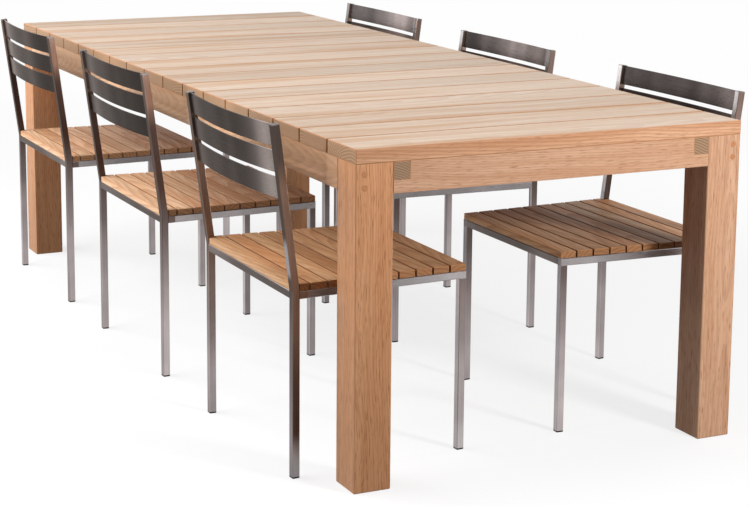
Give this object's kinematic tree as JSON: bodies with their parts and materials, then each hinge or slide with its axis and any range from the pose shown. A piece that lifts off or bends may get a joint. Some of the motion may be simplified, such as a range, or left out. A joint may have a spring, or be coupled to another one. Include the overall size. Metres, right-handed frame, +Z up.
{
  "type": "patio dining set",
  "caption": "Long teak plank table on square corner legs with chairs of brushed steel tube, slatted teak seats and curved steel back slats, for meals outdoors.",
  "frame": {"origin": "on the floor, under the middle of the set", "axes": "+Y along the table, away from the picture's viewer, +X across the table to the right, +Z up"},
  "size_m": [1.2818, 2.6, 0.811],
  "materials": {
    "table_teak": "oiled, fine sanded",
    "seat_teak": "oiled, fine sanded",
    "dowel_wood": "sanded flush",
    "brushed_steel": "brushed along the length",
    "glide_plastic": "matte"
  },
  "bodies": {
    "table": {"table_planks": "table_teak", "table_bearers": "table_teak", "table_leg_dowels": "dowel_wood", "table_front_left_leg": "table_teak", "table_front_right_leg": "table_teak", "table_back_left_leg": "table_teak", "table_back_right_leg": "table_teak", "table_front_end_rail": "table_teak", "table_back_end_rail": "table_teak", "table_left_side_rail": "table_teak", "table_right_side_rail": "table_teak"},
    "front_left_chair": {"front_left_chair_left_side_frame": "brushed_steel", "front_left_chair_right_side_frame": "brushed_steel", "front_left_chair_front_rail": "brushed_steel", "front_left_chair_rear_rail": "brushed_steel", "front_left_chair_back_slats": "brushed_steel", "front_left_chair_seat_slats": "seat_teak", "front_left_chair_foot_glides": "glide_plastic", "front_left_chair_upright_caps": "brushed_steel"},
    "middle_left_chair": {"middle_left_chair_left_side_frame": "brushed_steel", "middle_left_chair_right_side_frame": "brushed_steel", "middle_left_chair_front_rail": "brushed_steel", "middle_left_chair_rear_rail": "brushed_steel", "middle_left_chair_back_slats": "brushed_steel", "middle_left_chair_seat_slats": "seat_teak", "middle_left_chair_foot_glides": "glide_plastic", "middle_left_chair_upright_caps": "brushed_steel"},
    "back_left_chair": {"back_left_chair_left_side_frame": "brushed_steel", "back_left_chair_right_side_frame": "brushed_steel", "back_left_chair_front_rail": "brushed_steel", "back_left_chair_rear_rail": "brushed_steel", "back_left_chair_back_slats": "brushed_steel", "back_left_chair_seat_slats": "seat_teak", "back_left_chair_foot_glides": "glide_plastic", "back_left_chair_upright_caps": "brushed_steel"},
    "front_right_chair": {"front_right_chair_left_side_frame": "brushed_steel", "front_right_chair_right_side_frame": "brushed_steel", "front_right_chair_front_rail": "brushed_steel", "front_right_chair_rear_rail": "brushed_steel", "front_right_chair_back_slats": "brushed_steel", "front_right_chair_seat_slats": "seat_teak", "front_right_chair_foot_glides": "glide_plastic", "front_right_chair_upright_caps": "brushed_steel"},
    "middle_right_chair": {"middle_right_chair_left_side_frame": "brushed_steel", "middle_right_chair_right_side_frame": "brushed_steel", "middle_right_chair_front_rail": "brushed_steel", "middle_right_chair_rear_rail": "brushed_steel", "middle_right_chair_back_slats": "brushed_steel", "middle_right_chair_seat_slats": "seat_teak", "middle_right_chair_foot_glides": "glide_plastic", "middle_right_chair_upright_caps": "brushed_steel"},
    "back_right_chair": {"back_right_chair_left_side_frame": "brushed_steel", "back_right_chair_right_side_frame": "brushed_steel", "back_right_chair_front_rail": "brushed_steel", "back_right_chair_rear_rail": "brushed_steel", "back_right_chair_back_slats": "brushed_steel", "back_right_chair_seat_slats": "seat_teak", "back_right_chair_foot_glides": "glide_plastic", "back_right_chair_upright_caps": "brushed_steel"}
  },
  "joints": [
    {"name": "front_left_chair_push_in", "type": "slide", "parent": "table", "child": "front_left_chair", "axis": [1, 0, 0], "range_m": [-0.45, 0.085]},
    {"name": "middle_left_chair_push_in", "type": "slide", "parent": "table", "child": "middle_left_chair", "axis": [1, 0, 0], "range_m": [-0.45, 0.085]},
    {"name": "back_left_chair_push_in", "type": "slide", "parent": "table", "child": "back_left_chair", "axis": [1, 0, 0], "range_m": [-0.45, 0.085]},
    {"name": "front_right_chair_push_in", "type": "slide", "parent": "table", "child": "front_right_chair", "axis": [-1, 0, 0], "range_m": [-0.45, 0.08]},
    {"name": "middle_right_chair_push_in", "type": "slide", "parent": "table", "child": "middle_right_chair", "axis": [-1, 0, 0], "range_m": [-0.45, 0.065]},
    {"name": "back_right_chair_push_in", "type": "slide", "parent": "table", "child": "back_right_chair", "axis": [-1, 0, 0], "range_m": [-0.45, 0.085]}
  ]
}
